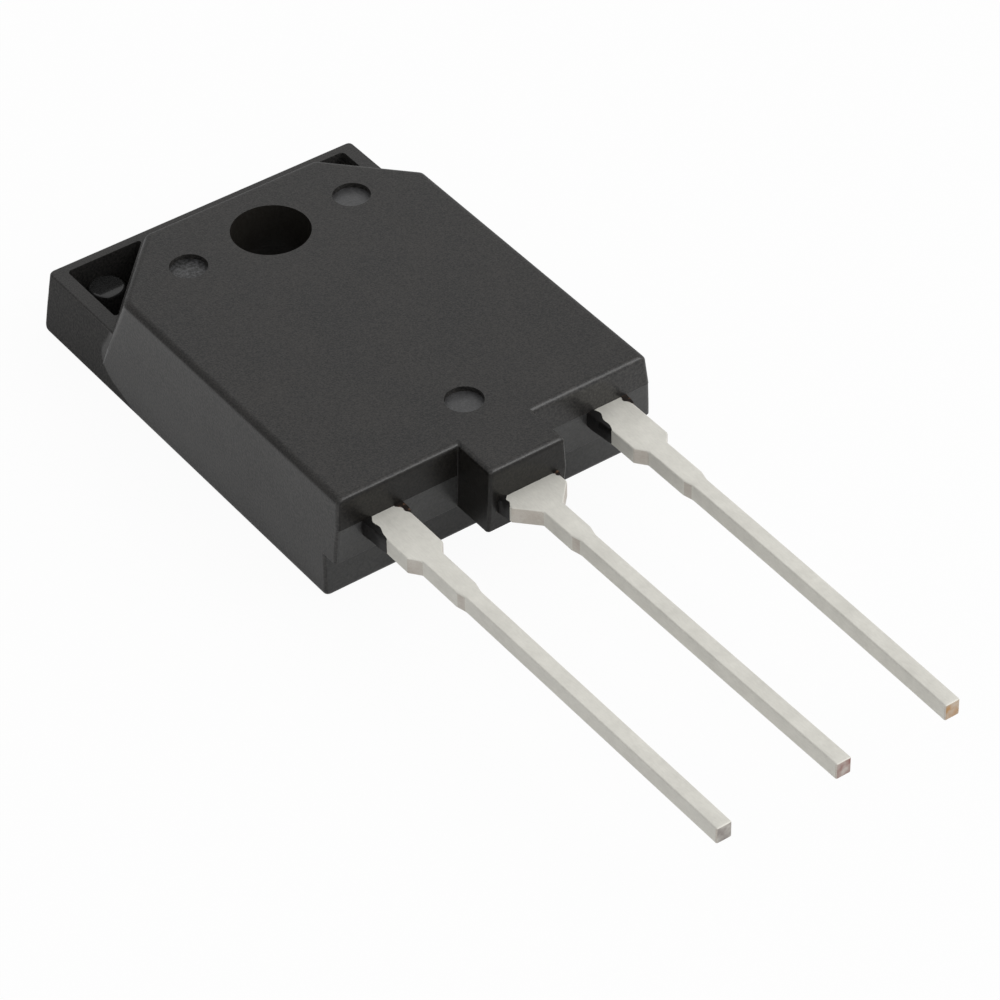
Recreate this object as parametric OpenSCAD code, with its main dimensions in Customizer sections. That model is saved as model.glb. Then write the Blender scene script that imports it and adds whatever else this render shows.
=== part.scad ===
// Fully moulded power transistor with three flat leads in one row, in millimetres.
// Origin on the mounting hole's axis, at the back face that goes against a heatsink.
// +X runs across the leads, +Y towards the hole end, +Z out of the front face.
// The leads leave the housing along -Y.

/* [Housing] */
// Width of the housing at its back face
body_w = 15.5; // [14.9:0.1:16.1]
// Thickness of the housing, back face to front face
body_t = 5.5; // [5.3:0.05:5.8]
// From the hole's axis to the edge of the back face at the hole end
hole_end = 6.2; // [6.0:0.1:6.6]
// From the hole's axis to the face that the outer leads come out of
lead_end = 15.9; // [15.5:0.1:16.4]
// Diameter of the mounting hole
hole_d = 3.4; // [3.0:0.1:3.8]
// Height of the ledge and of the pocket rims at the hole end
ledge_z = 3.35; // [3.2:0.05:3.5]
// Height of the step under the lead end
step_z = 2.3; // [2.0:0.05:2.6]
// How far the back of the housing stands back under that step
step_d = 0.8; // [0.6:0.05:1.2]
// Radius of the long top edges
edge_r = 0.3; // [0.2:0.05:0.4]
// Radius of the top edges at both ends
end_r = 0.16; // [0.1:0.02:0.2]

/* [Tab over the middle lead] */
// Width of the tab at the front face
tab_w = 3.6; // [3.3:0.1:4.2]
// How far the tab stands out of the lead end
tab_out = 2.15; // [1.8:0.05:2.4]

/* [Pockets and marks] */
// Height of the pocket floors above the back face
pocket_z = 1.2; // [1:0.1:1.6]
// Thickness of the rim between a pocket and the hole end
rim_end = 0.45; // [0.3:0.05:0.6]
// Thickness of the rim between a pocket and the long side
rim_side = 0.68; // [0.5:0.02:0.8]
// Diameter of the round stub in each pocket
stub_d = 1.56; // [1.3:0.02:1.6]
// Height of the stub's top above the back face
stub_z = 2.5; // [2.2:0.05:2.8]
// Diameter of the ejector marks
mark_d = 1.62; // [1.4:0.02:1.8]
// Depth of the ejector marks
mark_h = 0.18; // [0.1:0.02:0.3]
// From the middle line to the two marks beside the hole
mark_x = 4.05; // [3.8:0.05:4.3]
// From the hole's axis to the mark near the tab
mark_y = 13.8; // [13.4:0.05:14.2]

/* [Leads] */
// Distance between neighbouring leads
pitch = 5.45; // [5.35:0.01:5.55]
// Thickness of the leads
lead_t = 0.78; // [0.65:0.01:0.85]
// Height of the leads' under side above the back face
lead_z = 3.2; // [3.05:0.05:3.3]
// Width of the outer leads where they leave the housing
side_w = 1.7; // [1.5:0.05:1.9]
// Width of the middle lead where it leaves the tab
mid_w = 2.7; // [2.5:0.05:2.8]
// Width of the leads between the two steps
neck_w = 0.95; // [0.85:0.05:1.1]
// Width of the legs that go through a board
leg_w = 0.7; // [0.55:0.05:0.75]
// From the hole's axis to where the wide part of the leads ends
wide_end = 18.8; // [18.7:0.1:19.2]
// From the hole's axis to where the legs begin
leg_start = 22; // [21.6:0.1:23]
// From the hole's axis to the tips of the leads
tip = 37.5; // [32:0.5:40]
// Length of the slope from the outer leads' wide part to the neck
side_slope = 0.48; // [0.4:0.02:0.8]
// Length of the slope from the middle lead's wide part to the neck
mid_slope = 0.92; // [0.8:0.02:1.2]
// Length of the slope from the neck to the leg
leg_slope = 0.5; // [0.3:0.05:0.8]

/* [Inside] */
// Resin between the copper header and the back face
header_z = 0.7; // [0.6:0.05:0.8]
// Thickness of the copper header
header_t = 1.4; // [1.3:0.05:1.5]
// Width of the copper header
header_w = 12.4; // [11.8:0.1:12.6]
// From the hole's axis to the header's edge near the leads
header_end = 12.8; // [12.4:0.1:12.9]
// Radius of the header's cut-out round the mounting hole
fork_r = 2.7; // [2.5:0.05:2.9]
// Side of the square silicon chip
die_w = 5.5; // [4:0.1:6]
// Thickness of the silicon chip
die_t = 0.3; // [0.2:0.02:0.4]
// Thickness of the solder under the chip
solder_t = 0.1; // [0.06:0.01:0.14]
// Distance from the hole's axis to the chip's middle
die_y = 7.6; // [7.2:0.1:7.8]
// Diameter of the bond wires
wire_d = 0.4; // [0.3:0.05:0.45]
// Radius of the bond wires' arch
arch_r = 5.2; // [5:0.1:5.6]
// How far inside the lead end the bond pads begin
pad_in = 2.3; // [2.1:0.1:2.4]
// Length of the bond pads
pad_len = 1.5; // [1.2:0.1:1.7]
// How far the bond pads reach towards the middle from the lead's middle line
pad_inner = 1.6; // [1.3:0.1:1.8]
// How far the bond pads reach towards the side from the lead's middle line
pad_outer = 1.1; // [0.95:0.05:1.2]
// How much is cut off the header's corners beside the hole
header_cut = 2; // [1.8:0.1:2.2]

/* [Hidden] */

$fn = 64;
skin = 0.001;
hw = body_w / 2;
parting_z = lead_z + lead_t;
tab_y = -(lead_end + tab_out);
wide_y = -wide_end;
leg_y = -leg_start;
header_top = header_z + header_t;
solder_top = header_top + solder_t;
die_top = solder_top + die_t;
pad_y = -(lead_end - pad_in);
header_hole_end = header_cut * 0.7;
rise_y = -header_end - 1.25 * (parting_z - header_top) + 0.75 * lead_t;

// The corner walls beside the hole lean back. Their direction in the plan, and their lean per millimetre
corner_nx = 0.743;
corner_ny = 0.669;
lean = 0.352;
corner_foot = 6.0 + (body_w - 15.5) * 0.37;
end_foot = 3.71;

// How far the plate's leaning end wall has moved in at the ledge's height
ledge_in = 0.58;

// How far a rounded top edge has moved in at height z
function round_in(z, r) = z <= body_t - r ? 0 : r - sqrt(max(0, r * r - pow(z - body_t + r, 2)));

// Outline of the main block at height z: half width, lead end, hole end and corner wall
function block_x(z) = hw - lookup(z, [[0, 0.025], [2.5, 0.05], [parting_z, 0.15], [body_t, 0.28]]) - round_in(z, edge_r);
function block_lead(z) = -lead_end - lookup(z, [[step_z, -0.05], [parting_z, 0.02], [body_t, 0.03]]) + round_in(z, end_r);
function block_hole(z) = end_foot - lean * (z - ledge_z) - round_in(z, end_r);
function block_corner(z) = corner_foot - lean * (z - ledge_z) - round_in(z, end_r);

// Outline of the base plate at height z
function plate_x(z) = hw - 0.048 * z;
function plate_hole(z) = hole_end - lookup(z, [[0, 0.04], [0.4, 0], [1.8, 0.25], [ledge_z, ledge_in]]);

pocket_y = plate_hole(ledge_z) - rim_end;
pocket_x = plate_x(ledge_z) - rim_side;

module rounded(r) {
    offset(r = r, $fn = 24) offset(delta = -r) children();
}

module slice(z) {
    translate([0, 0, min(z, body_t - skin)])
        linear_extrude(height = skin) children();
}

module block_plan(z) {
    x = block_x(z);
    y0 = block_lead(z);
    y1 = block_hole(z);
    n = block_corner(z);
    cy = (n - corner_nx * x) / corner_ny;
    cx = (n - corner_ny * y1) / corner_nx;
    rounded(0.28)
        polygon([[x, y0], [x, cy], [cx, y1], [-cx, y1], [-x, cy], [-x, y0]]);
}

module plate_plan(z) {
    rounded(0.4)
        translate([-plate_x(z), -(lead_end - 0.4)])
            square([2 * plate_x(z), lead_end - 0.4 + plate_hole(z)]);
}

module tab_plan(x, y) {
    rounded(0.12)
        translate([-x, y])
            square([2 * x, -y - lead_end + 1.2]);
}

// The main block: drafted walls and rounded top edges
module block() {
    hull() {
        for (z = [0.3, 2.5, parting_z, body_t - edge_r, body_t - 0.5 * edge_r,
                  body_t - 0.134 * edge_r, body_t - 0.034 * edge_r, body_t])
            slice(z) block_plan(z);
    }
}

// The base plate, which carries on beyond the block as a ledge and two rims
module plate() {
    hull() {
        for (z = [0, 0.4, 1.8, ledge_z - skin])
            slice(z) plate_plan(z);
    }
}

module tab() {
    hull() {
        slice(step_z - 0.4) tab_plan(tab_w / 2 + 0.11, tab_y + 0.22);
        slice(parting_z) tab_plan(tab_w / 2 + 0.05, tab_y - 0.03);
        slice(body_t - 0.15) tab_plan(tab_w / 2, tab_y);
        slice(body_t - 0.04) tab_plan(tab_w / 2 - 0.04, tab_y + 0.04);
        slice(body_t) tab_plan(tab_w / 2 - 0.14, tab_y + 0.14);
    }
}

// A triangular pocket at one corner of the hole end, with a round stub left standing in it
module pocket() {
    n = corner_foot - 0.03;
    difference() {
        translate([0, 0, pocket_z])
            linear_extrude(height = body_t)
                rounded(0.12)
                    polygon([[(n - corner_ny * pocket_y) / corner_nx, pocket_y],
                             [pocket_x, (n - corner_nx * pocket_x) / corner_ny],
                             [pocket_x, pocket_y]]);
        translate([pocket_x - 1.3, pocket_y - 0.9, 0])
            cylinder(d = stub_d, h = stub_z);
    }
}

module mark(x, y) {
    translate([x, y, body_t - mark_h])
        cylinder(d = mark_d, h = 1);
}

// A fin of resin that was squeezed out beside a lead: its start, its edge on the lead, width and length
module flash(x, y, w, len) {
    translate([x, y, lead_z + 0.04])
        linear_extrude(height = lead_t - 0.08)
            polygon([[-0.1 * sign(w), 0.6], [w, 0.6], [w, -0.35 * len], [0.75 * w, -0.6 * len],
                     [0.7 * w, -0.8 * len], [0.2 * w, -len], [-0.1 * sign(w), -len]]);
}

module moulded_body() {
    color([0.05, 0.05, 0.052])
    difference() {
        union() {
            block();
            plate();
            tab();
            flash(-pitch - side_w / 2, -lead_end, -0.14, 1.5);
            flash(-pitch + side_w / 2, -lead_end, 0.09, 0.65);
            flash(pitch - side_w / 2, -lead_end, -0.16, 1.6);
            flash(pitch + side_w / 2, -lead_end, 0.09, 0.55);
            flash(-mid_w / 2, tab_y, -0.12, 0.62);
            flash(mid_w / 2, tab_y, 0.1, 0.2);
        }
        translate([-hw * 1.1, tab_y * 1.1, -step_z])
            cube([hw * 2.2, -tab_y * 1.1 - lead_end + step_d, 2 * step_z]);
        translate([0, 0, -body_t / 2])
            cylinder(d = hole_d, h = body_t * 2);
        pocket();
        mirror([1, 0, 0]) pocket();
        mark(mark_x, 0);
        mark(-mark_x, 0);
        mark(0, -mark_y);
        centre_lead();
        left_lead();
        right_lead();
        die_solder();
        silicon_die();
        left_bond_wire();
        right_bond_wire();
    }
}

// Half the outline of a lead from y0 outwards: wide part, neck and leg
function lead_half(w, y0, drop) = [[w / 2, y0], [w / 2, wide_y], [neck_w / 2, wide_y - drop],
                                   [neck_w / 2, leg_y + leg_slope], [leg_w / 2, leg_y], [leg_w / 2, -tip]];
function flip(p) = [for (i = [len(p) - 1:-1:0]) [-p[i][0], p[i][1]]];

// Copper header and middle lead, stamped as one piece from a strip of two thicknesses
module centre_lead() {
    color([0.72, 0.68, 0.62]) {
        translate([0, 0, header_z])
            linear_extrude(height = header_t)
                difference() {
                    polygon([[-header_w / 2, -header_end], [header_w / 2, -header_end],
                             [header_w / 2, header_hole_end - header_cut * 1.05],
                             [header_w / 2 - header_cut, header_hole_end],
                             [header_cut - header_w / 2, header_hole_end],
                             [-header_w / 2, header_hole_end - header_cut * 1.05]]);
                    circle(r = fork_r);
                    translate([-fork_r, 0]) square([2 * fork_r, 2 * header_hole_end]);
                }
        translate([-mid_w * 0.46, 0, 0])
            rotate([90, 0, 90])
                linear_extrude(height = mid_w * 0.92)
                    polygon([[-header_end + lead_t, header_top - lead_t],
                             [-header_end - lead_t * 0.25, header_top - lead_t],
                             [rise_y - lead_t * 0.5, lead_z], [rise_y - lead_t, lead_z],
                             [rise_y - lead_t, parting_z], [rise_y, parting_z],
                             [-header_end + lead_t * 0.25, header_top],
                             [-header_end + lead_t, header_top]]);
        translate([0, 0, lead_z])
            linear_extrude(height = lead_t)
                polygon(concat(lead_half(mid_w, rise_y - lead_t * 0.6, mid_slope),
                               flip(lead_half(mid_w, rise_y - lead_t * 0.6, mid_slope))));
    }
}

// Right outer lead. Its inner end widens to a pad for the bond wire
module side_lead() {
    translate([pitch, 0, lead_z])
        linear_extrude(height = lead_t)
            polygon(concat([[-pad_inner, pad_y - pad_len], [-pad_inner, pad_y], [pad_outer, pad_y],
                            [pad_outer, pad_y - pad_len]],
                           lead_half(side_w, pad_y - pad_len - (pad_outer - side_w / 2), side_slope),
                           flip(lead_half(side_w, pad_y - pad_len - (pad_inner - side_w / 2) * 0.6,
                                          side_slope))));
}

module right_lead() {
    color([0.72, 0.68, 0.62]) side_lead();
}

module left_lead() {
    color([0.72, 0.68, 0.62]) mirror([1, 0, 0]) side_lead();
}

module silicon_die() {
    color([0.25, 0.26, 0.3])
    translate([-die_w / 2, -die_y - die_w / 2, solder_top])
        cube([die_w, die_w, die_t]);
}

module die_solder() {
    color([0.5, 0.5, 0.5])
    translate([-die_w / 2 - 0.1, -die_y - die_w / 2 - 0.1, header_top])
        cube([die_w + 0.2, die_w + 0.2, solder_t]);
}

// Bond wire from the chip to the right lead's pad: part of a ring, with a flat foot at each end
module bond_wire() {
    from = [die_w * 0.22, -die_y - die_w * 0.25];
    to = [pitch - (pad_inner - pad_outer) / 2 - 0.3 * pad_outer, pad_y - pad_len / 2];
    run = norm(to - from);
    rise = parting_z - die_top;
    chord = norm([run, rise]);
    drop = sqrt(arch_r * arch_r - chord * chord / 4);
    foot = wire_d * 2.2;
    ring_h = run / 2 + drop * rise / chord;
    ring_z = (die_top + parting_z) / 2 - drop * run / chord;
    translate([from[0], from[1], 0])
        rotate([0, 0, atan2(to[1] - from[1], to[0] - from[0])]) {
            difference() {
                translate([ring_h, 0, ring_z])
                    rotate([90, 0, 0])
                        rotate_extrude($fn = 96)
                            translate([arch_r, 0]) circle(d = wire_d, $fn = 32);
                translate([-run, -wire_d, -3 * arch_r])
                    cube([4 * run, 2 * wire_d, 3 * arch_r + die_top]);
                translate([run * 0.8, -wire_d, -3 * arch_r])
                    cube([3 * run, 2 * wire_d, 3 * arch_r + parting_z]);
            }
            translate([-foot / 2, -wire_d * 0.6, die_top]) cube([foot, wire_d * 1.2, wire_d * 0.4]);
            translate([run - foot / 2, -wire_d * 0.6, parting_z])
                cube([foot, wire_d * 1.2, wire_d * 0.4]);
        }
}

module right_bond_wire() {
    color([0.8, 0.8, 0.82]) bond_wire();
}

module left_bond_wire() {
    color([0.8, 0.8, 0.82]) mirror([1, 0, 0]) bond_wire();
}

moulded_body();
centre_lead();
left_lead();
right_lead();
silicon_die();
die_solder();
left_bond_wire();
right_bond_wire();
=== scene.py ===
"""Power transistor in a fully moulded package: housing, three tinned leads, sealed inner pieces."""
import math

import bmesh
import bpy
from mathutils import Matrix, Vector


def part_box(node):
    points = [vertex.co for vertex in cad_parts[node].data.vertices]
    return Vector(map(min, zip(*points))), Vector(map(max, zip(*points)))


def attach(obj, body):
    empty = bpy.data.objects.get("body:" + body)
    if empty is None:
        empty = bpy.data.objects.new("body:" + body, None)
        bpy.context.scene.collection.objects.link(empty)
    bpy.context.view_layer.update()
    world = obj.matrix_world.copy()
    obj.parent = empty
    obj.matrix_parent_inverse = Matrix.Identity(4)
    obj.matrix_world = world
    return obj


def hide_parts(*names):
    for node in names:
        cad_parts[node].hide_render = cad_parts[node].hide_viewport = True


bl_info = {
    "name": "Power transistor",
    "version": (1, 0, 0),
    "blender": (4, 5, 0),
    "location": "View3D > Sidebar > Transistor",
    "description": "Builds a fully moulded power transistor and its studio",
    "category": "Add Mesh",
}

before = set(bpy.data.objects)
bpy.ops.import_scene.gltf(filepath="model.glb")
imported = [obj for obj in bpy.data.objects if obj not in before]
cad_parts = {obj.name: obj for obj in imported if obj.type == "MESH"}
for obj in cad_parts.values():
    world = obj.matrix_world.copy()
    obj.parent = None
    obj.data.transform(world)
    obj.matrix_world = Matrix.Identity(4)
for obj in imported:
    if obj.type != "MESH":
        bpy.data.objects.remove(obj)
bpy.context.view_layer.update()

# Everything is built in millimetres and scaled by this at the end
MM = 0.001
BODY_LOW, BODY_HIGH = (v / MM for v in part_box("moulded_body"))
LEAD_LOW, LEAD_HIGH = (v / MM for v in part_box("left_lead"))

# Housing. The corner walls' normal in plan, and the lean of all hole-end walls per mm of height
NORMAL_X, NORMAL_Y = 0.743, 0.669
WALL_LEAN = 0.352
# Hole axis to the block's hole-end wall, its corner walls and the pockets' slanted walls, mm
HOLE_END_WALL, CORNER_WALL, POCKET_WALL = 3.71, 6.0, 5.97
# The corner walls' hole ends lie this much nearer the middle than in the plain outline, mm
CORNER_TURN = 0.2
# Draft of the base plate's sides per mm of height; the right one stands straighter in the photo
LEFT_DRAFT, RIGHT_DRAFT = 0.048, 0.01
# How far the plate's hole end has moved in at the ledge, and the rounding of the ledge's edge, mm
LEDGE_IN, LEDGE_EDGE = 0.58, 0.09
# Pocket's outer corner to the middle of its stub, mm
STUB_INSET_X, STUB_INSET_Y = 1.42, 0.72

# Leads. Length of the slope from the wide part to the neck, outer and middle lead, mm
SIDE_SLOPE, MID_SLOPE = 0.48, 0.92
# Hole axis to where a leg starts to lean, and the number of 1 mm lengths from there to the tip
LEAN_START, LEAN_PARTS = 19, 18


# Colours, nodes and materials


def linear(code):
    """sRGB hex such as "2b2b2c" as a linear colour with alpha."""
    out = []
    for i in (0, 2, 4):
        c = int(code[i:i + 2], 16) / 255
        out.append(c / 12.92 if c <= 0.04045 else ((c + 0.055) / 1.055) ** 2.4)
    return (*out, 1.0)


def add(tree, kind, sets=(), links=()):
    """Adds one node, sets its sockets or properties and links its inputs."""
    node = tree.nodes.new(kind)
    for name, value in dict(sets).items():
        if isinstance(name, int) or name in node.inputs:
            node.inputs[name].default_value = value
        else:
            setattr(node, name, value)
    for name, source in dict(links).items():
        tree.links.new(source, node.inputs[name])
    return node


def new_material(name):
    """Empty node material and its tree."""
    mat = bpy.data.materials.new(name)
    mat.use_nodes = True
    mat.node_tree.nodes.clear()
    return mat, mat.node_tree


def finish_material(mat, surface):
    """Links the surface to the material's output."""
    add(mat.node_tree, "ShaderNodeOutputMaterial", links={"Surface": surface})
    return mat


def principled(mat, sets, links):
    """Ends a material with one Principled shader."""
    shader = add(mat.node_tree, "ShaderNodeBsdfPrincipled", sets, links)
    return finish_material(mat, shader.outputs[0])


def grains(tree, size_mm, detail=3.0, rough=0.6, stretch=(1, 1, 1)):
    """Noise whose cells are size_mm across, in the part's own coordinates."""
    coord = add(tree, "ShaderNodeTexCoord")
    mapped = add(tree, "ShaderNodeMapping", {"Scale": tuple(s / (size_mm * MM) for s in stretch)},
                 {"Vector": coord.outputs["Object"]})
    return add(tree, "ShaderNodeTexNoise", {"Scale": 1.0, "Detail": detail, "Roughness": rough},
               {"Vector": mapped.outputs[0]})


def spread(tree, value, low, high, to_low=0.0, to_high=1.0):
    """Maps low...high to to_low...to_high and stops at both ends."""
    return add(tree, "ShaderNodeMapRange",
               {"From Min": low, "From Max": high, "To Min": to_low, "To Max": to_high},
               {"Value": value}).outputs[0]


def mottle(tree, noise, low, high, dark, light):
    """Two sRGB hex colours mixed by a noise node: dark up to low, light from high."""
    node = add(tree, "ShaderNodeMix", {"data_type": "RGBA"},
               {0: spread(tree, noise.outputs[0], low, high)})
    node.inputs[6].default_value = linear(dark)
    node.inputs[7].default_value = linear(light)
    return node.outputs[2]


def bumps(tree, noise, strength, depth_mm, normal=None):
    """Normal bent by a noise node that is depth_mm deep."""
    links = {"Height": noise.outputs[0]}
    if normal:
        links["Normal"] = normal
    return add(tree, "ShaderNodeBump", {"Strength": strength, "Distance": depth_mm * MM},
               links).outputs[0]


def resin_moulded_matt(looks):
    """Black silica-filled epoxy, moulded against a spark-eroded face: even grain, soft sheen."""
    mat, tree = new_material("epoxy_moulded_matt")
    fine = grains(tree, 0.07, 1.0, 0.8)
    broad = grains(tree, 2.6, 2.0, 0.5)
    tone = add(tree, "ShaderNodeMath", {"operation": "MULTIPLY_ADD", 1: 0.35},
               {0: broad.outputs[0], 2: fine.outputs[0]})
    colour = mottle(tree, tone, 0.45, 0.9, looks.resin_dark, looks.resin_light)
    rough = spread(tree, broad.outputs[0], 0.3, 0.7,
                   looks.face_rough - 0.03, looks.face_rough + 0.03)
    # Grit of the eroded mould, drawn a little coarser than the real one so that it shows
    return principled(mat, {"IOR": 1.43}, {"Base Color": colour, "Roughness": rough,
                                           "Normal": bumps(tree, fine, 1.0, 0.01)})


def dull_zone(tree):
    """1 on the hole end of the base plate, up to the curved edge where the smooth side wall starts,
    and on the rounded foot."""
    # The zone's curve in millimetres: its height, its start along y and its reach from there
    tall, start, reach = 3.5, -3.0, 5.0
    coord = add(tree, "ShaderNodeTexCoord")
    place = add(tree, "ShaderNodeSeparateXYZ", links={0: coord.outputs["Object"]})
    height = spread(tree, place.outputs["Z"], 0.0, tall * MM)
    edge = add(tree, "ShaderNodeFloatCurve", links={"Value": height})
    curve = edge.mapping.curves[0]
    # Height over the back face, and how far past the start the edge lies there
    points = [(0.0, 0.3), (0.2, 1.9), (0.55, 3.0), (0.9, 3.9), (1.7, 4.45), (3.3, 3.75)]
    curve.points[0].location = (points[0][0] / tall, points[0][1] / reach)
    curve.points[1].location = (1.0, points[-1][1] / reach)
    for z, y in points[1:]:
        curve.points.new(z / tall, y / reach)
    edge.mapping.update()
    limit = spread(tree, edge.outputs[0], 0.0, 1.0, start * MM, (start + reach) * MM)
    past = add(tree, "ShaderNodeMath", {"operation": "SUBTRACT"}, {0: place.outputs["Y"], 1: limit})
    along = spread(tree, past.outputs[0], -0.1 * MM, 0.1 * MM)
    # Only up to the ledge; and all of the lowest 0.1 mm, which is the rounded foot
    under = spread(tree, place.outputs["Z"], 3.36 * MM, 3.38 * MM, 1.0, 0.0)
    zone = add(tree, "ShaderNodeMath", {"operation": "MULTIPLY"}, {0: along, 1: under})
    foot = spread(tree, place.outputs["Z"], 0.1 * MM, 0.16 * MM, 1.0, 0.0)
    both = add(tree, "ShaderNodeMath", {"operation": "MAXIMUM"}, {0: zone.outputs[0], 1: foot})
    return both.outputs[0]


def resin_moulded_smooth(looks, name, dark, light, ior=1.5, edge_mm=0.04):
    """The same epoxy on the drafted walls, which slide out of a smoother mould: semi-gloss, faintly
    wavy, and duller at the hole end of the base plate, where the mould is rougher."""
    mat, tree = new_material(name)
    fine = grains(tree, 0.11, 2.0, 0.7)
    broad = grains(tree, 3.2, 2.0, 0.5)
    zone = dull_zone(tree)
    colour = mottle(tree, fine, 0.35, 0.65, dark, light)
    wavy = spread(tree, broad.outputs[0], 0.3, 0.7,
                  looks.wall_rough - 0.03, looks.wall_rough + 0.03)
    rough = add(tree, "ShaderNodeMix", {"data_type": "FLOAT", 3: looks.plate_rough},
                {0: zone, 2: wavy})
    bending = spread(tree, zone, 0.0, 1.0, ior, 1.44)
    bevel = add(tree, "ShaderNodeBevel", {"samples": 6, "Radius": edge_mm * MM})
    return principled(mat, {}, {"Base Color": colour, "Roughness": rough.outputs[0], "IOR": bending,
                                "Normal": bumps(tree, fine, 0.8, 0.008, bevel.outputs[0])})


def resin_stub():
    """Epoxy where a polished pin pressed the stub in the pocket: glossy black, mirrors the sky."""
    mat, tree = new_material("epoxy_polished_stub")
    fine = grains(tree, 0.12, 2.0, 0.6)
    return principled(mat, {"IOR": 1.5, "Roughness": 0.1},
                      {"Base Color": mottle(tree, fine, 0.35, 0.65, "262626", "303030"),
                       "Normal": bumps(tree, fine, 0.4, 0.002)})


def resin_pin_mark(looks, name, dark, size_mm, depth_mm):
    """Epoxy where an ejector pin pressed on it: a little smoother, and painted lighter in small
    patches as painted reflection of the sky on the smoother floor.
    """
    mat, tree = new_material(name)
    fine = grains(tree, size_mm, 3.0, 0.7)
    return principled(mat, {"IOR": 1.5, "Roughness": 0.42},
                      {"Base Color": mottle(tree, fine, 0.4, 0.65, dark, looks.mark_painted_reflection),
                       "Normal": bumps(tree, fine, 0.8, depth_mm)})


def resin_flash(name, dark, light):
    """Epoxy flash squeezed out between the mould halves: smooth and black, brown where thin."""
    mat, tree = new_material(name)
    lumps = grains(tree, 0.22, 3.0, 0.6)
    return principled(mat, {"IOR": 1.4, "Roughness": 0.4},
                      {"Base Color": mottle(tree, lumps, 0.55, 0.75, dark, light),
                       "Normal": bumps(tree, lumps, 0.5, 0.02)})


def tin_plated(looks, name, dark, light):
    """Matt tin plated on stamped copper: pale warm satin metal with faint lines along the strip.
    Its fine crystals scatter light, so it is only partly metallic here."""
    mat, tree = new_material(name)
    lines = grains(tree, 0.06, 2.0, 0.6, (1, 0.25, 1))
    cloud = grains(tree, 0.9, 3.0, 0.6)
    tone = add(tree, "ShaderNodeMath", {"operation": "MULTIPLY_ADD", 1: 0.6},
               {0: lines.outputs[0], 2: cloud.outputs[0]})
    rough = spread(tree, cloud.outputs[0], 0.3, 0.7, looks.tin_rough - 0.05, looks.tin_rough + 0.05)
    return principled(mat, {"Metallic": 0.3},
                      {"Base Color": mottle(tree, tone, 0.5, 1.1, dark, light), "Roughness": rough,
                       "Normal": bumps(tree, lines, 0.25, 0.003)})


def copper_cut(looks, name, copper):
    """Copper bared where the lead was cut off, stained, with tin smeared over it by the blade."""
    mat, tree = new_material(name)
    smear = grains(tree, 0.45, 2.0, 0.5)
    return principled(mat, {"Metallic": 0.6, "Roughness": 0.5},
                      {"Base Color": mottle(tree, smear, 0.35, 0.8, copper, looks.tin_dark)})


def plain_metal(name, dark, light, rough, size_mm):
    """Bare metal in clouds of two tones: drawn aluminium wire, or lead-tin solder."""
    mat, tree = new_material(name)
    cloud = grains(tree, size_mm, 2.0, 0.5)
    return principled(mat, {"Metallic": 1.0, "Roughness": rough},
                      {"Base Color": mottle(tree, cloud, 0.35, 0.65, dark, light)})


def silicon_polished():
    """Polished silicon chip: dark, glossy, faintly blue."""
    mat, tree = new_material("silicon_polished")
    cloud = grains(tree, 1.5, 2.0, 0.5)
    return principled(mat, {"IOR": 1.5, "Roughness": 0.15},
                      {"Base Color": mottle(tree, cloud, 0.35, 0.65, "2a2c33", "343842")})


# Mesh helpers, all in millimetres until put()


def between(z, table):
    """Straight-line value at z from a short table of (z, value)."""
    if z <= table[0][0]:
        return table[0][1]
    for (z0, v0), (z1, v1) in zip(table, table[1:]):
        if z <= z1:
            return v0 + (v1 - v0) * (z - z0) / (z1 - z0)
    return table[-1][1]


def rounded_ring(corners, steps=8):
    """Closed outline with each corner (x, y, radius) turned into an arc of steps + 1 points."""
    ring = []
    count = len(corners)
    for i, (x, y, r) in enumerate(corners):
        here = Vector((x, y))
        a = (Vector(corners[i - 1][:2]) - here).normalized()
        b = (Vector(corners[(i + 1) % count][:2]) - here).normalized()
        half = math.acos(max(-1, min(1, a.dot(b)))) / 2
        reach = r / math.tan(half)
        centre = here + (a + b).normalized() * (r / math.sin(half))
        p, q = here + a * reach - centre, here + b * reach - centre
        turn = math.pi - 2 * half
        side = 1 if p.x * q.y - p.y * q.x > 0 else -1
        for k in range(steps + 1):
            t = side * turn * k / steps
            ring.append(centre + Vector((p.x * math.cos(t) - p.y * math.sin(t),
                                         p.x * math.sin(t) + p.y * math.cos(t))))
    return ring


def loft(levels):
    """Closed bmesh through outlines of equal point counts: a list of (z, ring)."""
    bm = bmesh.new()
    rows = [[bm.verts.new((p.x, p.y, z)) for p in ring] for z, ring in levels]
    for low, high in zip(rows, rows[1:]):
        for i in range(len(low)):
            j = (i + 1) % len(low)
            bm.faces.new((low[i], low[j], high[j], high[i]))
    bm.faces.new(rows[0][::-1])
    bm.faces.new(rows[-1])
    bmesh.ops.recalc_face_normals(bm, faces=bm.faces)
    return bm


def circle(x, y, r, count=96):
    """Round outline of count points."""
    angles = [2 * math.pi * k / count for k in range(count)]
    return [Vector((x + r * math.cos(a), y + r * math.sin(a))) for a in angles]


def quarter_arc(r, step):
    """Pairs (up, across) of a quarter arc of radius r, each step degrees."""
    angles = [math.radians(a) for a in range(0, 91, step)]
    return [(r * math.sin(a), r * math.cos(a)) for a in angles]


def to_object(bm, name):
    """Object in the scene from a bmesh, which goes."""
    mesh = bpy.data.meshes.new(name)
    bm.to_mesh(mesh)
    bm.free()
    obj = bpy.data.objects.new(name, mesh)
    bpy.context.scene.collection.objects.link(obj)
    return obj


def pin(x, y, r, low, high, count=96):
    """Round tool from low to high."""
    ring = circle(x, y, r, count)
    return to_object(loft([(low, ring), (high, ring)]), "pin_tool")


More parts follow.
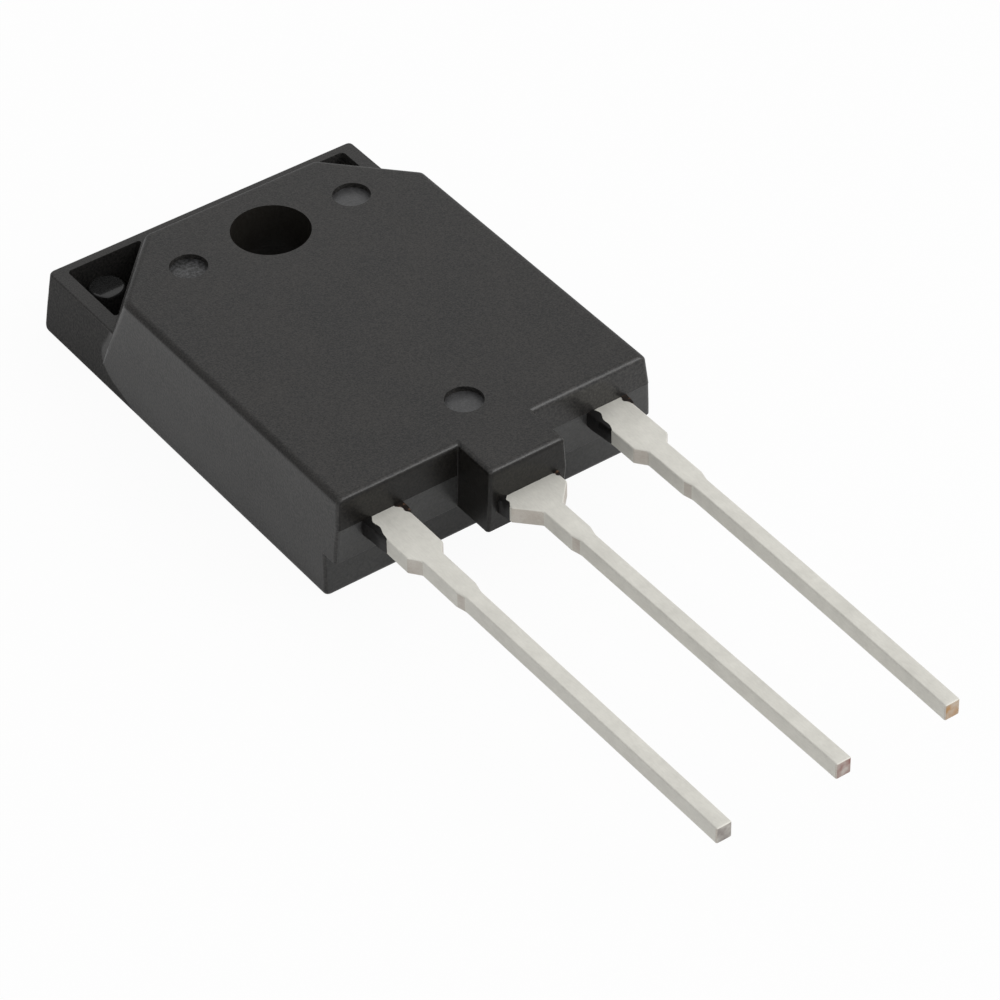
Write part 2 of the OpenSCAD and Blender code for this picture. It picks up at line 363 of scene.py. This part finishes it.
def cut(obj, tool, mode="DIFFERENCE"):
    """Exact Boolean of obj with tool, applied at once and welded; tool goes."""
    mod = obj.modifiers.new("cut", "BOOLEAN")
    mod.operation, mod.solver, mod.object = mode, "EXACT", tool
    done = bpy.data.meshes.new_from_object(obj.evaluated_get(bpy.context.evaluated_depsgraph_get()))
    bm = bmesh.new()
    bm.from_mesh(done)
    bmesh.ops.remove_doubles(bm, verts=bm.verts[:], dist=0.0002)
    bm.to_mesh(done)
    bm.free()
    obj.modifiers.clear()
    obj.data = done
    bpy.data.objects.remove(tool)


def put(obj, materials, pick, sharp_deg=32):
    """Assigns materials by face, shades smooth with sharp edges, and scales from mm to m."""
    mesh = obj.data
    mesh.materials.clear()
    for m in materials:
        mesh.materials.append(m)
    for face in mesh.polygons:
        face.material_index = pick(face.center, face.normal)
        face.use_smooth = True
    mesh.set_sharp_from_angle(angle=math.radians(sharp_deg))
    mesh.transform(Matrix.Scale(MM, 4))
    mesh.update()
    even = obj.modifiers.new("even_normals", "WEIGHTED_NORMAL")
    even.keep_sharp = True
    even.weight = 60


# The housing and its flash


class HousingShape:
    """Outlines of the housing at each height, in millimetres, taken from the settings."""

    def __init__(self, s):
        self.s = s
        self.top = s.thickness
        self.half = s.width / 2

    def inset(self, z, r):
        """How far a rounded top edge of radius r has moved in at height z."""
        over = z - (self.top - r)
        return 0 if over <= 0 else r - math.sqrt(max(0, r * r - over * over))

    def block_ring(self, z, low=False):
        """Outline of the block with its tab; low gives it behind the step, without the tab."""
        s = self.s
        x = self.half - between(z, [(0, 0.025), (2.5, 0.05), (s.parting, 0.15), (self.top, 0.27)])
        x -= self.inset(z, s.long_edge)
        soft = self.inset(z, s.end_edge)
        # The leaning walls' distance from the hole's axis at this height: hole end and corners
        lean = WALL_LEAN * (z - s.ledge)
        y1 = HOLE_END_WALL - lean - soft
        corner = CORNER_WALL - lean - soft
        corner_y = (corner - NORMAL_X * x) / NORMAL_Y
        corner_x = (corner - NORMAL_Y * y1) / NORMAL_X - CORNER_TURN
        if low:
            y0 = -s.lead_end + s.step_depth
            return rounded_ring([(x, y0, 0.2), (x, corner_y, 0.7), (corner_x, y1, 0.35),
                                 (-corner_x, y1, 0.35), (-x, corner_y, 0.7), (-x, y0, 0.2)])
        # The lead end and the tab have a small step of their own at the parting line
        end = between(z, [(2.3, -0.06), (s.parting, 0.03), (s.parting + 0.01, 0.05),
                          (self.top, 0.01)])
        tab_side = between(z, [(2.3, 0.06), (s.parting, 0.08), (self.top, 0)])
        tab_end = between(z, [(2.3, -0.18), (s.parting, 0.04), (self.top, 0)])
        y0 = -s.lead_end + soft - end
        tab_x = s.tab_width / 2 + tab_side - 0.8 * soft
        tab_y = -s.lead_end - s.tab_length + soft - tab_end
        # The photo shows the front face a little off the middle: its right edge lies further in
        right = x - between(z, [(s.parting, 0), (self.top, 0.07)])
        return rounded_ring([(right, y0, 0.18), (right, corner_y, 0.3), (corner_x, y1, 0.35),
                             (-corner_x, y1, 0.35), (-x, corner_y, 0.7), (-x, y0, 0.18),
                             (-tab_x, y0, 0.03), (-tab_x, tab_y, 0.14), (tab_x, tab_y, 0.14),
                             (tab_x, y0, 0.03)])

    def plate_ring(self, z, soft=0.0):
        """Outline of the base plate, moved in by soft."""
        s = self.s
        x = self.half - LEFT_DRAFT * z - soft
        y1 = s.hole_end - between(z, [(0, 0.04), (0.4, 0), (1.8, 0.25), (s.ledge, LEDGE_IN)]) - soft
        y0 = -s.lead_end + s.step_depth + soft
        right = self.half - RIGHT_DRAFT * z - soft
        return rounded_ring([(right, y0, 0.2), (right, y1, 0.2), (-x, y1, 0.3), (-x, y0, 0.2)])

    def block(self):
        """The block from the step up to the rounded front face."""
        seam, r = self.s.parting, self.s.long_edge
        heights = [self.s.step_height, 2.9, 3.4, seam, seam + 0.01, 4.4, 4.8, 5.1]
        heights += [self.top - r + up for up, _ in quarter_arc(r, 6)]
        return loft([(z, self.block_ring(z)) for z in sorted(set(heights))])

    def lower_block(self):
        """The block behind the step."""
        heights = [0.35, 0.6, 1.2, 1.8, self.s.step_height, 2.9]
        return loft([(z, self.block_ring(z, True)) for z in heights])

    def plate(self):
        """The base plate, from the rounded foot to the ledge."""
        s, r = self.s, self.s.foot_edge
        levels = [(r - across, r - up) for up, across in quarter_arc(r, 9)]
        levels += [(z, 0) for z in (0.4, 0.9, 1.4, 1.8, 2.4, 2.9)]
        levels += [(s.ledge - LEDGE_EDGE + up, LEDGE_EDGE - across)
                   for up, across in quarter_arc(LEDGE_EDGE, 15)]
        return loft([(z, self.plate_ring(z, soft)) for z, soft in levels])

    def pocket(self, side):
        """Tool for the pocket in one corner of the plate, with the shape of its stub left out."""
        s = self.s
        y = s.hole_end - LEDGE_IN - s.rim_end
        x = self.half - (RIGHT_DRAFT if side > 0 else LEFT_DRAFT) * s.ledge - s.rim_side
        corners = [((POCKET_WALL - NORMAL_Y * y) / NORMAL_X - CORNER_TURN, y, 0.12), (x, y, 0.2),
                   (x, (POCKET_WALL - NORMAL_X * x) / NORMAL_Y, 0.12)]
        ring = rounded_ring([(side * cx, cy, r) for cx, cy, r in corners])
        hole = to_object(loft([(s.pocket_floor, ring), (self.top + 1, ring)]), "pocket_tool")
        stub_x, stub_y = side * (x - STUB_INSET_X), y - STUB_INSET_Y
        r, edge = s.stub / 2, s.stub_edge
        rows = [(0, circle(stub_x, stub_y, r))]
        rows += [(s.stub_top - edge + up, circle(stub_x, stub_y, r - edge + across))
                 for up, across in quarter_arc(edge, 10)]
        cut(hole, to_object(loft(rows), "stub_tool"))
        return hole


def build_housing(s, looks):
    """The whole moulded housing as one piece."""
    shape = HousingShape(s)
    body = to_object(shape.block(), "housing")
    cut(body, to_object(shape.lower_block(), "lower_tool"), "UNION")
    cut(body, to_object(shape.plate(), "plate_tool"), "UNION")
    cut(body, pin(0, 0, s.hole / 2, -1, 7, 128))
    for x, y in ((s.mark_x, 0), (-s.mark_x, 0), (0, -s.mark_y)):
        cut(body, pin(x, y, s.mark / 2, shape.top - s.mark_depth, shape.top + 1))
    for side in (-1, 1):
        cut(body, shape.pocket(side))
    matt, smooth, rough_mark, mark, stub, low_step, shade_painted_end, bore = range(8)

    def pick(c, n):
        """Material of a face, from its middle c and its normal n."""
        if shape.top - s.mark_depth - 0.01 < c.z < shape.top - 0.05 and n.z > 0.9:
            return rough_mark if c.x < -1 else mark
        if n.z > 0.1 and abs(c.x) > 3 and s.pocket_floor + 0.1 < c.z < s.stub_top + 0.1:
            return stub
        if n.y < -0.8 and c.y < -s.lead_end + s.step_depth + 0.1:
            # Under the parting line beside the tab, and on the step, the end faces are painted
            # lighter: painted reflection of the floor
            if c.z < s.step_height or c.z < s.parting - 0.1 and abs(c.x) > 2:
                return low_step
            # Left of the tab above the parting line, and on the tab's front, the end face is painted
            # darker: painted shade
            if c.z > s.parting and c.x < -2 or abs(c.x) < 2:
                return shade_painted_end
        # The tab's left wall is painted dark: painted shade for the shade it lies in beside the lead
        # end
        if -2.5 < c.x < -1.5 and c.y < -s.lead_end + 0.1 and n.z < 0.5:
            return shade_painted_end
        if abs(n.z) < 0.5 and math.hypot(c.x, c.y) < s.hole / 2 + 0.05:
            return bore
        # The rounded top edges are matt like the face, but smooth near the lead end
        flat = 0.93 if c.y < -10 else 0.35
        return matt if n.z > flat or n.z < -0.9 else smooth

    put(body, [resin_moulded_matt(looks),
               resin_moulded_smooth(looks, "epoxy_moulded_smooth", looks.resin_dark,
                                    looks.resin_light),
               resin_pin_mark(looks, "epoxy_pin_mark_rough", looks.resin_dark, 0.16, 0.03),
               # The right and tab marks start from a lighter tone: more painted reflection than on the
               # left mark
               resin_pin_mark(looks, "epoxy_pin_mark", "353536", 0.1, 0.012), resin_stub(),
               # Painted reflection: the low step's lighter colours stand in for the floor it mirrors
               resin_moulded_smooth(looks, "epoxy_low_step_painted_reflection", "303030", "3c3c3b"),
               # Painted shade: the lead end's darker colours stand in for the shade beside the tab and
               # leads
               resin_moulded_smooth(looks, "epoxy_lead_end_painted_shade", "0a0908", "1e1c19", 1.38,
                                    0.005),
               resin_moulded_smooth(looks, "epoxy_moulded_hole", "1e1c19", "272522", 1.5, 0.005)],
        pick)
    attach(body, "root")
    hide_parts("moulded_body")


def build_flash(s, leads):
    """Broken fins and smears of resin beside each lead where it leaves the housing."""
    # Place of each blob in x and y, its side of the lead, how far it stands out and its length, mm
    spots = [(-leads.pitch - leads.side_width / 2, -s.lead_end, -1, 0.15, 1.5),
             (-leads.pitch + leads.side_width / 2, -s.lead_end, 1, 0.15, 0.75),
             (leads.pitch - leads.side_width / 2, -s.lead_end, -1, 0.16, 1.45),
             (leads.pitch + leads.side_width / 2, -s.lead_end, 1, 0.15, 0.65),
             (-leads.mid_width / 2, -s.lead_end - s.tab_length, -1, 0.13, 0.62),
             (leads.mid_width / 2, -s.lead_end - s.tab_length, 1, 0.12, 0.32)]
    # Cross-sections of a blob from its root in the resin, 0.25 mm deep, to its thin end
    steps, root = 14, 0.25
    bm = bmesh.new()
    for x, y, side, width, length in spots:
        rows = []
        for k in range(steps + 1):
            t = k / steps
            row_y = y + root - (length + root) * t
            wide = width * (1 + 0.12 * math.sin(9 * t + x)) * math.sqrt(max(0.02, 1 - t ** 1.6))
            # How far it laps over the lead's upper side, with a ragged edge
            ragged = 1 + 0.35 * math.sin(13 * t + 2 * x)
            over = (0.26 if side < 0 else 0.3) * (1 - t) ** 0.7 * ragged + 0.02
            low = LEAD_LOW.z + 0.03 + 0.05 * t
            high = LEAD_HIGH.z + 0.035
            section = [(x + side * wide * 0.7, low), (x + side * wide, (low + high) / 2),
                       (x + side * wide * 0.8, high - 0.03), (x + side * wide * 0.2, high),
                       (x - side * over, high - 0.012), (x - side * over * 1.1, LEAD_HIGH.z - 0.05),
                       (x - side * 0.04, LEAD_HIGH.z - 0.1), (x - side * 0.04, low)]
            rows.append([bm.verts.new((px, row_y, pz)) for px, pz in section])
        for a, b in zip(rows, rows[1:]):
            for i in range(len(a)):
                j = (i + 1) % len(a)
                bm.faces.new((a[i], a[j], b[j], b[i]))
        bm.faces.new(rows[0])
        bm.faces.new(rows[-1][::-1])
    bmesh.ops.recalc_face_normals(bm, faces=bm.faces)
    obj = to_object(bm, "resin_flash")

    def pick(c, _):
        """The thin, browner flash is on the right side of each lead."""
        return int(any(0.2 < c.x - middle < 1.6 for middle in (-leads.pitch, 0, leads.pitch)))

    put(obj, [resin_flash("epoxy_flash", "0b0a0a", "1c1815"),
              resin_flash("epoxy_flash_thin", "1d1714", "84644e")], pick, 60)
    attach(obj, "root")


# The leads


def lead_outline(leads, width, start, slope):
    """Half outline from the housing to the tip: wide part, neck and leg."""
    wide, neck, leg = width / 2, leads.neck_width / 2, leads.leg_width / 2
    return [(wide, start), (wide, -leads.wide_end), (neck, -leads.wide_end - slope),
            (neck, -leads.leg_start + leads.leg_slope), (leg, -leads.leg_start), (leg, -leads.tip)]


def prism(outline, low, high, edge, place=lambda a, b, c: (a, b, c)):
    """Closed plate with this outline, from low to high, its edges rounded by edge."""
    bm = bmesh.new()
    base = bm.faces.new([bm.verts.new(place(a, b, low)) for a, b in outline])
    out = bmesh.ops.extrude_face_region(bm, geom=[base])
    lift = [e for e in out["geom"] if isinstance(e, bmesh.types.BMVert)]
    bmesh.ops.translate(bm, verts=lift, vec=Vector(place(0, 0, high - low)))
    bmesh.ops.recalc_face_normals(bm, faces=bm.faces)
    if edge:
        edges = [e for e in bm.edges if e.calc_face_angle(0) > 0.2]
        bmesh.ops.bevel(bm, geom=edges, offset=edge, segments=3, profile=0.5, affect="EDGES")
    return bm


def side_outline(leads, side):
    """Outer lead with the pad inside the resin that its bond wire lands on."""
    w, back = leads.side_width / 2, -leads.pad_start - leads.pad_length
    outer = lead_outline(leads, leads.side_width, back - (leads.pad_outer - w), SIDE_SLOPE)
    inner = lead_outline(leads, leads.side_width, back - 0.6 * (leads.pad_inner - w), SIDE_SLOPE)
    points = [(-leads.pad_inner, back), (-leads.pad_inner, -leads.pad_start),
              (leads.pad_outer, -leads.pad_start),
              (leads.pad_outer, back)] + outer + [(-x, y) for x, y in reversed(inner)]
    return [(side * x, y) for x, y in points]


def header_outline(leads):
    """Copper plate that carries the chip, forked round the mounting hole."""
    x, far = leads.header_width / 2, 0.7 * leads.header_cut
    angles = [math.radians(a) for a in range(0, 181, 6)]
    arc = [(leads.fork * math.cos(a), -leads.fork * math.sin(a)) for a in angles]
    half = [(x, -leads.header_end), (x, far - 1.05 * leads.header_cut), (x - leads.header_cut, far),
            (leads.fork, far)]
    return half + arc + [(-px, py) for px, py in reversed(half)]


def build_lead(leads, looks, name, node, x, lean, copper):
    """One lead with its inner end; the middle lead is one piece with the header."""
    low, high = LEAD_LOW.z, LEAD_HIGH.z
    thick = high - low
    # Where the middle lead, on its way up from the header, reaches its full height
    rise = -leads.header_end - 1.25 * (high - leads.header_top) + 0.75 * thick
    if x:
        outline = side_outline(leads, 1 if x > 0 else -1)
    else:
        half = lead_outline(leads, leads.mid_width, rise - 0.6 * thick, MID_SLOPE)
        outline = half + [(-px, py) for px, py in reversed(half)]
    bm = prism(outline, low, high, leads.edge)
    for k in range(1, LEAN_PARTS + 1):
        bmesh.ops.bisect_plane(bm, geom=bm.verts[:] + bm.edges[:] + bm.faces[:],
                               plane_co=(0, -LEAN_START - k, 0), plane_no=(0, 1, 0))
    for v in bm.verts:
        t = max(0.0, (-LEAN_START - v.co.y) / (leads.tip - LEAN_START))
        v.co.x += x + lean * t * t
    obj = to_object(bm, name)
    if not x:
        end, top = -leads.header_end, leads.header_top
        ramp = [(end + thick, top - thick), (end - thick / 4, top - thick), (rise - thick / 2, low),
                (rise - thick, low), (rise - thick, high), (rise, high), (end + thick / 4, top),
                (end + thick, top)]
        strip = 0.46 * leads.mid_width
        bent = prism(ramp, -strip, strip, 0, lambda y, z, across: (across, y, z))
        cut(obj, to_object(bent, "ramp_tool"), "UNION")
        header = prism(header_outline(leads), leads.header_low, top, 0.03)
        cut(obj, to_object(header, "header_tool"), "UNION")

    def pick(c, n):
        """Tin, bare copper on the cut tip, and worn tin on the slopes of the two steps."""
        if c.y < -leads.tip + 0.02 and n.y < -0.8:
            return 1
        return 2 if abs(n.z) < 0.3 and 0.2 < abs(n.y) < 0.97 and c.y < -16 else 0

    put(obj, [tin_plated(looks, "tin_plated_copper", looks.tin_dark, looks.tin_light),
              copper_cut(looks, name + "_cut_end", copper),
              tin_plated(looks, "tin_worn_by_punch", "bfb6ac", "d8d4cc")], pick, 40)
    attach(obj, "root")
    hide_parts(node)


# Settings


def size(name, text, value, low, high):
    """Number setting with its limits."""
    return bpy.props.FloatProperty(name=name, description=text, default=value, min=low, max=high,
                                   precision=3)


def shade(name, text, code):
    """Colour setting, as sRGB hex."""
    return bpy.props.StringProperty(name=name, description=text, default=code, maxlen=6)


class TransistorHousing(bpy.types.PropertyGroup):
    """Sizes of the moulded housing, in millimetres"""
    width: size("Width", "Width at the back face, mm", BODY_HIGH.x - BODY_LOW.x, 14, 17)
    thickness: size("Thickness", "Back face to front face, mm", BODY_HIGH.z, 5, 6)
    hole_end: size("Hole end", "Hole axis to the edge at the hole end, mm", BODY_HIGH.y, 5.5, 7)
    lead_end: size("Lead end", "Hole axis to the face with the leads, mm", 15.9, 15, 17)
    hole: size("Hole", "Diameter of the mounting hole, mm", 3.4, 3, 4)
    ledge: size("Ledge", "Height of the ledge and the rims, mm", 3.35, 3, 3.6)
    parting: size("Parting line", "Height of the parting line, mm", LEAD_HIGH.z, 3.7, 4.2)
    step_height: size("Step height", "Height of the step under the lead end, mm", 2.3, 2, 2.6)
    step_depth: size("Step depth", "Depth of that step, mm", 0.8, 0.5, 1.3)
    long_edge: size("Long edge", "Radius of the long top edges, mm", 0.3, 0.1, 0.5)
    foot_edge: size("Foot edge", "Radius of the edges round the back face, mm", 0.3, 0.05, 0.4)
    end_edge: size("End edge", "Radius of the other top edges, mm", 0.25, 0.05, 0.3)
    tab_width: size("Tab width", "Width of the tab over the middle lead, mm", 3.6, 3, 4.5)
    tab_length: size("Tab length", "How far the tab stands out, mm", 2.15, 1.5, 2.6)
    pocket_floor: size("Pocket floor", "Height of the pocket floors, mm", 1.2, 1, 2)
    rim_end: size("End rim", "Rim between pocket and hole end, mm", 0.45, 0.2, 0.8)
    rim_side: size("Side rim", "Rim between pocket and long side, mm", 0.68, 0.4, 0.9)
    stub: size("Stub", "Diameter of the stub in each pocket, mm", 1.56, 1.2, 1.8)
    stub_top: size("Stub top", "Height of that stub, mm", 2.38, 2, 3)
    stub_edge: size("Stub edge", "Rounding of the stub's upper edge, mm", 0.12, 0.05, 0.4)
    mark: size("Mark", "Diameter of the ejector marks, mm", 1.62, 1.2, 2)
    mark_depth: size("Mark depth", "Depth of the ejector marks, mm", 0.25, 0.05, 0.3)
    mark_x: size("Mark x", "Middle line to the marks beside the hole, mm", 4.05, 3.5, 4.5)
    mark_y: size("Mark y", "Hole axis to the mark near the tab, mm", 13.8, 13, 14.5)


class TransistorLeads(bpy.types.PropertyGroup):
    """Sizes of the leads, in millimetres"""
    pitch: size("Pitch", "Distance between neighbouring leads, mm", 5.45, 5, 6)
    side_width: size("Outer width", "Wide part of the outer leads, mm", 1.7, 1.2, 2)
    mid_width: size("Middle width", "Wide part of the middle lead, mm", 2.7, 2, 3)
    neck_width: size("Neck", "Width between the two steps, mm", 0.95, 0.8, 1.2)
    leg_width: size("Leg", "Width of the legs, mm", 0.7, 0.5, 0.8)
    wide_end: size("Wide end", "Hole axis to the end of the wide part, mm", 18.8, 18, 20)
    leg_start: size("Leg start", "Hole axis to where the legs begin, mm", 22, 21, 24)
    leg_slope: size("Leg slope", "Length of the slope to the leg, mm", 0.5, 0.2, 1)
    tip: size("Tip", "Hole axis to the tips, mm", -LEAD_LOW.y, 30, 42)
    edge: size("Edge", "Rounding of the stamped edges, mm", 0.07, 0.01, 0.12)
    pad_start: size("Pad start", "Hole axis to the pads inside the resin, mm", 13.6, 13, 14)
    pad_length: size("Pad length", "Length of those pads, mm", 1.5, 1, 2)
    pad_inner: size("Pad inner", "Reach of a pad towards the middle, mm", 1.6, 1, 2)
    pad_outer: size("Pad outer", "Reach of a pad away from the middle, mm", 1.1, 0.9, 1.3)
    header_low: size("Header low", "Back face to the copper header, mm", 0.7, 0.5, 1)
    header_top: size("Header top", "Back face to the header's upper side, mm", 2.1, 1.8, 2.5)
    header_width: size("Header width", "Width of the header, mm", 12.4, 11, 13)
    header_end: size("Header end", "Hole axis to the header's lead end, mm", 12.8, 12, 13)
    header_cut: size("Header cut", "Cut at the header's corners, mm", 2.0, 1, 3)
    fork: size("Fork", "Radius of the header's fork round the hole, mm", 2.7, 2.4, 3)


class TransistorLooks(bpy.types.PropertyGroup):
    """Colours, as sRGB hex, and finishes"""
    resin_dark: shade("Resin dark", "Darker grains of the resin", "0e0e0e")
    resin_light: shade("Resin light", "Lighter grains of the resin", "343230")
    # Painted reflection: the marks' lighter patches stand in for the sky that their smoother floors
    # mirror
    mark_painted_reflection: shade("Mark", "Lighter patches in the ejector marks", "464647")
    tin_dark: shade("Tin dark", "Darker tone of the tin", "d4d2ca")
    tin_light: shade("Tin light", "Lighter tone of the tin", "e6e4dc")
    copper_left: shade("Left tip", "Stained copper at the left lead's cut tip", "857b78")
    copper_centre: shade("Centre tip", "Stained copper at the middle lead's cut tip", "97736c")
    copper_right: shade("Right tip", "Bare copper at the right lead's cut tip", "bb9468")
    face_rough: size("Face roughness", "Roughness of the matt faces", 0.5, 0.1, 1)
    wall_rough: size("Wall roughness", "Roughness of the drafted walls", 0.32, 0.1, 1)
    plate_rough: size("Plate roughness", "Roughness of the base plate", 0.7, 0.1, 1)
    tin_rough: size("Tin roughness", "Roughness of the tin", 0.6, 0.1, 1)


# Operators


class TRANSISTOR_OT_housing(bpy.types.Operator):
    """Builds the moulded housing"""
    bl_idname = "transistor.housing"
    bl_label = "Housing"

    def execute(self, context):
        s = context.scene
        build_housing(s.transistor_housing, s.transistor_looks)
        return {"FINISHED"}


class TRANSISTOR_OT_flash(bpy.types.Operator):
    """Builds the resin flash beside the leads"""
    bl_idname = "transistor.flash"
    bl_label = "Resin flash"

    def execute(self, context):
        s = context.scene
        build_flash(s.transistor_housing, s.transistor_leads)
        return {"FINISHED"}


class TRANSISTOR_OT_leads(bpy.types.Operator):
    """Builds the three tinned leads"""
    bl_idname = "transistor.leads"
    bl_label = "Leads"

    def execute(self, context):
        leads, looks = context.scene.transistor_leads, context.scene.transistor_looks
        build_lead(leads, looks, "left_lead_tinned", "left_lead", -leads.pitch, 0.0, looks.copper_left)
        build_lead(leads, looks, "right_lead_tinned", "right_lead", leads.pitch, -0.2,
                   looks.copper_right)
        build_lead(leads, looks, "centre_lead_tinned", "centre_lead", 0.0, 0.08, looks.copper_centre)
        return {"FINISHED"}


class TRANSISTOR_OT_inside(bpy.types.Operator):
    """Gives the sealed inner pieces their finishes"""
    bl_idname = "transistor.inside"
    bl_label = "Inner pieces"

    def execute(self, context):
        wire = plain_metal("aluminium_drawn_wire", "c9cacd", "dcdde0", 0.3, 0.4)
        finishes = {"silicon_die": silicon_polished(),
                    "die_solder": plain_metal("solder_lead_tin", "7d7f82", "96989a", 0.4, 0.5),
                    "left_bond_wire": wire, "right_bond_wire": wire}
        for name, mat in finishes.items():
            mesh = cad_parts[name].data
            mesh.materials.clear()
            mesh.materials.append(mat)
        return {"FINISHED"}


class TRANSISTOR_OT_stage(bpy.types.Operator):
    """Makes the floor, the lights, the world and the camera"""
    bl_idname = "transistor.stage"
    bl_label = "Studio"

    def execute(self, context):
        build_stage()
        return {"FINISHED"}


# Studio


def aim(obj, place, target):
    """Puts a lamp at place, pointing at target."""
    obj.location = place
    obj.rotation_mode = "QUATERNION"
    obj.rotation_quaternion = (Vector(place) - Vector(target)).to_track_quat("Z", "Y")


def soft_box(name, place, size_m, watts):
    """Round area lamp at place, pointing at the part."""
    lamp = bpy.data.lights.new(name, "AREA")
    lamp.shape, lamp.size, lamp.energy = "DISK", size_m, watts
    obj = bpy.data.objects.new(name, lamp)
    bpy.context.scene.collection.objects.link(obj)
    aim(obj, place, (0, -0.012, 0.003))


def build_floor():
    """White paper that the camera sees as white, apart from the part's shadow."""
    bm = bmesh.new()
    bmesh.ops.create_grid(bm, x_segments=8, y_segments=8, size=2.0)
    floor = to_object(bm, "floor")
    floor.location = (0, 0, -0.00001)
    mat, tree = new_material("floor_white_paper")
    path = add(tree, "ShaderNodeLightPath")
    fibre = grains(tree, 0.6, 2.0, 0.5)
    paper = mottle(tree, fibre, 0.3, 0.7, "e6e6e6", "e9e9e9")
    diffuse = add(tree, "ShaderNodeBsdfDiffuse", links={"Color": paper})
    glow = add(tree, "ShaderNodeEmission", {"Strength": 1.0})
    seen = add(tree, "ShaderNodeMath", {"operation": "MULTIPLY", 1: 0.95},
               {0: path.outputs["Is Camera Ray"]})
    # Reflections see mostly the real, shadowed paper: the photo's metal shows a greyer table
    mirrored = add(tree, "ShaderNodeMath", {"operation": "MULTIPLY_ADD", 1: 0.2},
                   {0: path.outputs["Is Glossy Ray"], 2: seen.outputs[0]})
    through = add(tree, "ShaderNodeMath", {"operation": "MULTIPLY_ADD", 1: 0.9},
                  {0: path.outputs["Is Transmission Ray"], 2: mirrored.outputs[0]})
    mix = add(tree, "ShaderNodeMixShader",
              links={0: through.outputs[0], 1: diffuse.outputs[0], 2: glow.outputs[0]})
    finish_material(mat, mix.outputs[0])
    floor.data.materials.append(mat)


def build_world():
    """White behind the part, and a light tent around it for everything but the camera."""
    world = bpy.data.worlds.new("studio")
    bpy.context.scene.world = world
    world.use_nodes = True
    tree = world.node_tree
    tree.nodes.clear()
    path = add(tree, "ShaderNodeLightPath")
    # The light tent is brightest above the front right and dark low at the back left
    coord = add(tree, "ShaderNodeTexCoord")
    along = add(tree, "ShaderNodeVectorMath", {"operation": "DOT_PRODUCT", 1: (0.45, -0.35, 0.82)},
                {0: coord.outputs["Generated"]})
    level = spread(tree, along.outputs["Value"], -0.6, 1.0, 0.2, 0.95)
    room = add(tree, "ShaderNodeBackground", {"Color": (1, 1, 1, 1)}, {"Strength": level})
    white = add(tree, "ShaderNodeBackground", {"Color": (1, 1, 1, 1), "Strength": 1.0})
    mix = add(tree, "ShaderNodeMixShader",
              links={0: path.outputs["Is Camera Ray"], 1: room.outputs[0], 2: white.outputs[0]})
    add(tree, "ShaderNodeOutputWorld", links={"Surface": mix.outputs[0]})


def build_camera():
    """The photo's own view, found by fitting the part's edges to it."""
    data = bpy.data.cameras.new("photo_view")
    data.sensor_width, data.lens = 36.0, 161.8085
    data.clip_start, data.clip_end = 0.01, 10
    cam = bpy.data.objects.new("photo_view", data)
    bpy.context.scene.collection.objects.link(cam)
    az, el, roll = (math.radians(a) for a in (-34.9798, 40.7625, -1.2966))
    aim_mm, distance_mm = Vector((-0.1111, -16.2637, 2.0)), 178.2333
    back = Vector((math.sin(az) * math.cos(el), -math.cos(az) * math.cos(el), math.sin(el)))
    right = Vector((math.cos(az), math.sin(az), 0))
    up = back.cross(right)
    r = right * math.cos(roll) + up * math.sin(roll)
    u = up * math.cos(roll) - right * math.sin(roll)
    eye = (aim_mm + back * distance_mm) * MM
    cam.matrix_world = Matrix(((r.x, u.x, back.x, eye.x), (r.y, u.y, back.y, eye.y),
                               (r.z, u.z, back.z, eye.z), (0, 0, 0, 1)))
    bpy.context.scene.camera = cam


def build_stage():
    """Floor, world, lamps and camera."""
    bpy.context.scene.view_settings.view_transform = "Standard"
    build_floor()
    build_world()
    soft_box("key_front_right", (0.225, -0.28, 0.27), 0.26, 0.54)
    soft_box("back_low", (0.2, 0.34, 0.19), 0.14, 0.07)
    build_camera()


class TRANSISTOR_PT_panel(bpy.types.Panel):
    """Lists the steps that build the transistor"""
    bl_label = "Transistor"
    bl_idname = "TRANSISTOR_PT_panel"
    bl_space_type = "VIEW_3D"
    bl_region_type = "UI"
    bl_category = "Transistor"

    def draw(self, context):
        for op in OPERATORS:
            self.layout.operator(op.bl_idname)
        for group in ("transistor_housing", "transistor_leads", "transistor_looks"):
            box = self.layout.box()
            settings = getattr(context.scene, group)
            for prop in settings.__annotations__:
                box.prop(settings, prop)


OPERATORS = (TRANSISTOR_OT_housing, TRANSISTOR_OT_flash, TRANSISTOR_OT_leads, TRANSISTOR_OT_inside,
             TRANSISTOR_OT_stage)
GROUPS = {"transistor_housing": TransistorHousing, "transistor_leads": TransistorLeads,
          "transistor_looks": TransistorLooks}


def register():
    """Adds the settings, the operators and the panel to Blender."""
    for cls in (*GROUPS.values(), *OPERATORS, TRANSISTOR_PT_panel):
        bpy.utils.register_class(cls)
    for name, group in GROUPS.items():
        setattr(bpy.types.Scene, name, bpy.props.PointerProperty(type=group))


def unregister():
    """Takes them out again."""
    for name in GROUPS:
        delattr(bpy.types.Scene, name)
    for cls in (TRANSISTOR_PT_panel, *reversed(OPERATORS), *reversed(list(GROUPS.values()))):
        bpy.utils.unregister_class(cls)


def main():
    """Builds the part and its studio."""
    register()
    bpy.ops.transistor.housing()
    bpy.ops.transistor.flash()
    bpy.ops.transistor.leads()
    bpy.ops.transistor.inside()
    bpy.ops.transistor.stage()


if __name__ == "__main__":
    main()
